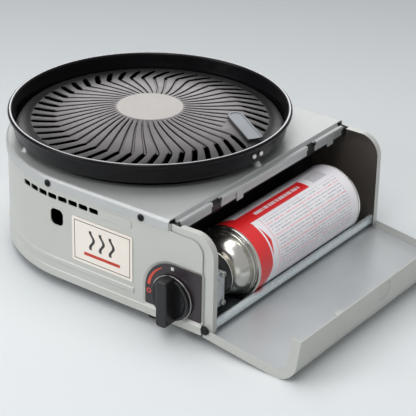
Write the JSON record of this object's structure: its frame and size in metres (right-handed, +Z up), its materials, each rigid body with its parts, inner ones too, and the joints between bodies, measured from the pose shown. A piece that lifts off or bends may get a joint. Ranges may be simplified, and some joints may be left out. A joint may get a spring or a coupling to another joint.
{
  "type": "cassette gas grill",
  "caption": "Tabletop gas grill: domed slotted plate over a water tray, steel body with one round end, control knob, gas cartridge under a tip-down side cover.",
  "frame": {"origin": "centre of the base of the whole grill with its cover open, on the table that the feet stand on", "axes": "+X towards the side with the cartridge and its cover, -Y to the front with the knob, +Z up"},
  "size_m": [0.387, 0.28, 0.1331],
  "materials": {
    "body_paint": "warm silver-grey metallic paint, satin",
    "galvanised": "galvanised steel, blue-grey",
    "black_sheet": "heat-proof black, satin",
    "black_plastic": "moulded, satin",
    "black_fastener": "black zinc plated",
    "face_plastic": "dark brown-black, semi-gloss",
    "rubber": "matt",
    "steel": "plated, bright",
    "die_cast": "die-cast, as cast",
    "tinplate": "tinplate, bright",
    "printed_can": "printed tinplate with bare coloured bands",
    "brass": "drawn brass",
    "ceramic": "glazed white",
    "tray_enamel": "black enamel, glossy",
    "plate_coating": "cast, dark grey non-stick coating",
    "label_cream": "cream foil, matt"
  },
  "bodies": {
    "body": {"body_shell": "body_paint", "top_plate": "body_paint", "floor_pan": "galvanised", "hinge_tube": "galvanised", "mixing_tube": "galvanised", "burner_stand": "galvanised", "partition": "black_sheet", "burner_cap": "black_sheet", "catch_clip_front": "black_plastic", "catch_clip_back": "black_plastic", "corner_piece_front": "black_plastic", "corner_piece_back": "black_plastic", "cartridge_holder": "black_plastic", "igniter_block": "black_plastic", "hinge_pin_front": "black_fastener", "hinge_pin_back": "black_fastener", "skirt_screw_front_left": "black_fastener", "skirt_screw_front_right": "black_fastener", "skirt_screw_back_left": "black_fastener", "skirt_screw_back_right": "black_fastener", "faceplate": "face_plastic", "foot_right_front": "rubber", "foot_right_back": "rubber", "foot_left_front": "rubber", "foot_left_back": "rubber", "igniter_lead": "rubber", "hinge_washer_front": "steel", "hinge_washer_back": "steel", "regulator_bolt_1": "steel", "regulator_bolt_2": "steel", "regulator_bolt_3": "steel", "regulator_bolt_4": "steel", "electrode_tip": "steel", "electrode_arm": "steel", "burner_bowl": "steel", "regulator_body": "die_cast", "diaphragm_cover": "die_cast", "gas_pipe": "brass", "gas_nozzle": "brass", "spark_electrode": "ceramic", "name_plate": "label_cream"},
    "knob": {"knob": "black_plastic", "knob_ring": "steel", "knob_spindle": "steel"},
    "cover": {"container_cover": "body_paint"},
    "cartridge": {"cartridge_shell": "printed_can", "cartridge_dome": "tinplate", "cartridge_base": "tinplate", "cartridge_flange": "tinplate", "valve_cup": "tinplate", "valve_stem": "ceramic"},
    "tray": {"water_tray": "tray_enamel", "locating_bracket": "steel", "tray_rivet_front": "steel", "tray_rivet_back": "steel"},
    "plate": {"grill_plate": "plate_coating", "lifting_tab": "plate_coating"}
  },
  "joints": [
    {"name": "knob_turn", "type": "hinge", "parent": "body", "child": "knob", "pos_m": [0.06572, -0.1236, 0.037], "axis": [0, -1, 0], "range_deg": [0, 105]},
    {"name": "cover_hinge", "type": "hinge", "parent": "body", "child": "cover", "pos_m": [0.09952, 0.0072, 0.0175], "axis": [0, -1, 0], "range_deg": [0, 98]},
    {"name": "cartridge_slide", "type": "slide", "parent": "body", "child": "cartridge", "axis": [0, 1, 0], "range_m": [0, 0.01]},
    {"name": "tray_lift", "type": "slide", "parent": "body", "child": "tray", "axis": [0, 0, 1], "range_m": [0, 0.06]},
    {"name": "plate_lift", "type": "slide", "parent": "tray", "child": "plate", "axis": [0, 0, 1], "range_m": [0, 0.05]}
  ]
}
